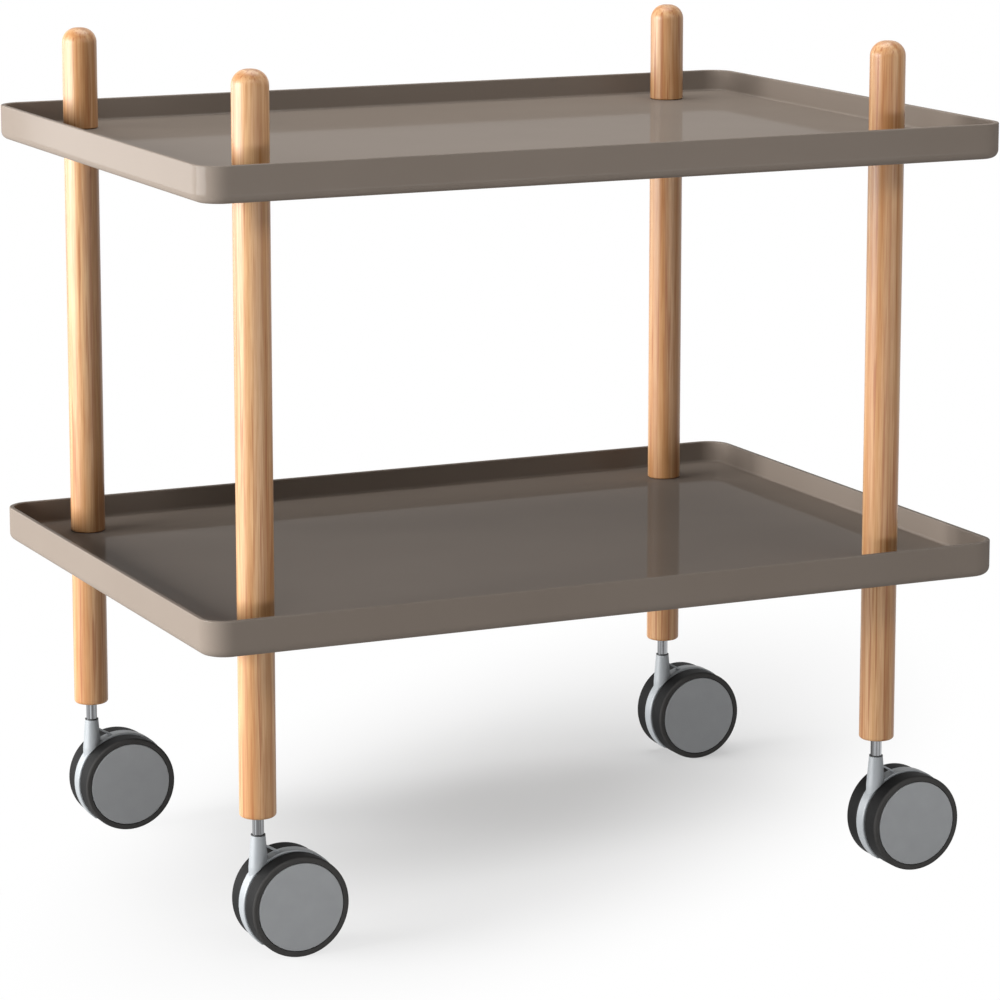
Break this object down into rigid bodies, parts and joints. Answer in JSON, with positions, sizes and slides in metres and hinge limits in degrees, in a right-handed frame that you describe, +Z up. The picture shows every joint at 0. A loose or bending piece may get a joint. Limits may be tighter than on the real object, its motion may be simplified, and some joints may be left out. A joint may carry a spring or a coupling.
{
  "type": "trolley side table",
  "caption": "Two shallow rimmed steel trays on round wooden legs that rise through them, rolling on twin-wheel swivel casters.",
  "frame": {"origin": "on the floor, under the middle of the trays", "axes": "+X along the trays, towards the side the casters trail to in the picture; +Y to the back; +Z up"},
  "size_m": [0.672, 0.476, 0.6685],
  "materials": {
    "tray_paint": "satin powder coat, warm grey",
    "beech": "lacquered beech with straight grain",
    "zinc_steel": "zinc-plated steel",
    "chrome_steel": "polished chrome",
    "hood_plastic": "silver moulded plastic",
    "collar_plastic": "black moulded plastic",
    "hub_plastic": "grey moulded plastic",
    "tyre_rubber": "charcoal soft tread"
  },
  "bodies": {
    "root": {"upper_tray": "tray_paint", "lower_tray": "tray_paint", "leg_cap_front_left": "beech", "leg_middle_front_left": "beech", "leg_foot_front_left": "beech", "stud_upper_front_left": "zinc_steel", "stud_lower_front_left": "zinc_steel", "caster_socket_front_left": "zinc_steel", "caster_stem_front_left": "chrome_steel", "leg_cap_front_right": "beech", "leg_middle_front_right": "beech", "leg_foot_front_right": "beech", "stud_upper_front_right": "zinc_steel", "stud_lower_front_right": "zinc_steel", "caster_socket_front_right": "zinc_steel", "caster_stem_front_right": "chrome_steel", "leg_cap_back_left": "beech", "leg_middle_back_left": "beech", "leg_foot_back_left": "beech", "stud_upper_back_left": "zinc_steel", "stud_lower_back_left": "zinc_steel", "caster_socket_back_left": "zinc_steel", "caster_stem_back_left": "chrome_steel", "leg_cap_back_right": "beech", "leg_middle_back_right": "beech", "leg_foot_back_right": "beech", "stud_upper_back_right": "zinc_steel", "stud_lower_back_right": "zinc_steel", "caster_socket_back_right": "zinc_steel", "caster_stem_back_right": "chrome_steel"},
    "swivel_front_left": {"dust_collar_front_left": "collar_plastic", "caster_hood_front_left": "hood_plastic", "axle_front_left": "zinc_steel"},
    "wheel_front_left_near": {"wheel_hub_front_left_near": "hub_plastic", "tyre_front_left_near": "tyre_rubber"},
    "wheel_front_left_far": {"wheel_hub_front_left_far": "hub_plastic", "tyre_front_left_far": "tyre_rubber"},
    "swivel_front_right": {"dust_collar_front_right": "collar_plastic", "caster_hood_front_right": "hood_plastic", "axle_front_right": "zinc_steel"},
    "wheel_front_right_near": {"wheel_hub_front_right_near": "hub_plastic", "tyre_front_right_near": "tyre_rubber"},
    "wheel_front_right_far": {"wheel_hub_front_right_far": "hub_plastic", "tyre_front_right_far": "tyre_rubber"},
    "swivel_back_left": {"dust_collar_back_left": "collar_plastic", "caster_hood_back_left": "hood_plastic", "axle_back_left": "zinc_steel"},
    "wheel_back_left_near": {"wheel_hub_back_left_near": "hub_plastic", "tyre_back_left_near": "tyre_rubber"},
    "wheel_back_left_far": {"wheel_hub_back_left_far": "hub_plastic", "tyre_back_left_far": "tyre_rubber"},
    "swivel_back_right": {"dust_collar_back_right": "collar_plastic", "caster_hood_back_right": "hood_plastic", "axle_back_right": "zinc_steel"},
    "wheel_back_right_near": {"wheel_hub_back_right_near": "hub_plastic", "tyre_back_right_near": "tyre_rubber"},
    "wheel_back_right_far": {"wheel_hub_back_right_far": "hub_plastic", "tyre_back_right_far": "tyre_rubber"}
  },
  "joints": [
    {"name": "swivel_front_left", "type": "hinge", "parent": "root", "child": "swivel_front_left", "pos_m": [-0.279, -0.188, 0.0925], "axis": [0, 0, 1], "continuous": true},
    {"name": "roll_front_left_near", "type": "hinge", "parent": "swivel_front_left", "child": "wheel_front_left_near", "pos_m": [-0.2535, -0.188, 0.039], "axis": [0, 1, 0], "continuous": true},
    {"name": "roll_front_left_far", "type": "hinge", "parent": "swivel_front_left", "child": "wheel_front_left_far", "pos_m": [-0.2535, -0.188, 0.039], "axis": [0, 1, 0], "continuous": true},
    {"name": "swivel_front_right", "type": "hinge", "parent": "root", "child": "swivel_front_right", "pos_m": [0.255, -0.188, 0.0925], "axis": [0, 0, 1], "continuous": true},
    {"name": "roll_front_right_near", "type": "hinge", "parent": "swivel_front_right", "child": "wheel_front_right_near", "pos_m": [0.2805, -0.188, 0.039], "axis": [0, 1, 0], "continuous": true},
    {"name": "roll_front_right_far", "type": "hinge", "parent": "swivel_front_right", "child": "wheel_front_right_far", "pos_m": [0.2805, -0.188, 0.039], "axis": [0, 1, 0], "continuous": true},
    {"name": "swivel_back_left", "type": "hinge", "parent": "root", "child": "swivel_back_left", "pos_m": [-0.279, 0.188, 0.0925], "axis": [0, 0, 1], "continuous": true},
    {"name": "roll_back_left_near", "type": "hinge", "parent": "swivel_back_left", "child": "wheel_back_left_near", "pos_m": [-0.2535, 0.188, 0.039], "axis": [0, 1, 0], "continuous": true},
    {"name": "roll_back_left_far", "type": "hinge", "parent": "swivel_back_left", "child": "wheel_back_left_far", "pos_m": [-0.2535, 0.188, 0.039], "axis": [0, 1, 0], "continuous": true},
    {"name": "swivel_back_right", "type": "hinge", "parent": "root", "child": "swivel_back_right", "pos_m": [0.255, 0.188, 0.0925], "axis": [0, 0, 1], "continuous": true},
    {"name": "roll_back_right_near", "type": "hinge", "parent": "swivel_back_right", "child": "wheel_back_right_near", "pos_m": [0.2805, 0.188, 0.039], "axis": [0, 1, 0], "continuous": true},
    {"name": "roll_back_right_far", "type": "hinge", "parent": "swivel_back_right", "child": "wheel_back_right_far", "pos_m": [0.2805, 0.188, 0.039], "axis": [0, 1, 0], "continuous": true}
  ]
}
